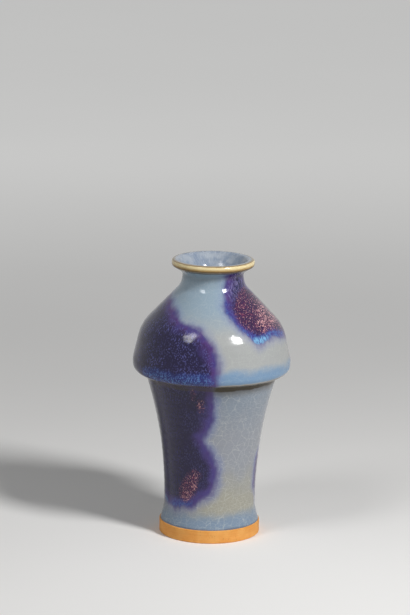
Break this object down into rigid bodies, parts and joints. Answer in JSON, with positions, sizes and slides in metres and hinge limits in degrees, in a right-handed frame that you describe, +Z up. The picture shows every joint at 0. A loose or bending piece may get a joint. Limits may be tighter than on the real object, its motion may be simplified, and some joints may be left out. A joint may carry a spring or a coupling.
{
  "type": "meiping vase",
  "caption": "Tall stepped vase: a flaring lower body on an unglazed foot ring, an overhanging bell-shaped shoulder, a short waisted neck and a rolled, everted lip.",
  "frame": {"origin": "centre of the foot ring, on the surface that the vase stands on", "axes": "+Z up along the axis that the vase was turned about; +X to the right and +Y away from the viewer, so the pictured side faces -Y"},
  "size_m": [0.1126, 0.1126, 0.2],
  "materials": {
    "bare_stoneware": "matte",
    "slip": "matte",
    "body_glaze": "gloss",
    "shoulder_glaze": "gloss",
    "lip_glaze": "gloss",
    "inner_glaze": "gloss"
  },
  "bodies": {
    "root": {"foot_ring": "bare_stoneware", "lower_body": "bare_stoneware", "shoulder_slip": "slip", "shoulder_dome": "bare_stoneware", "neck_slip": "slip", "neck_and_mouth": "bare_stoneware", "lower_glaze": "body_glaze", "shoulder_glaze": "shoulder_glaze", "lip_glaze": "lip_glaze", "inner_glaze": "inner_glaze"}
  },
  "joints": []
}
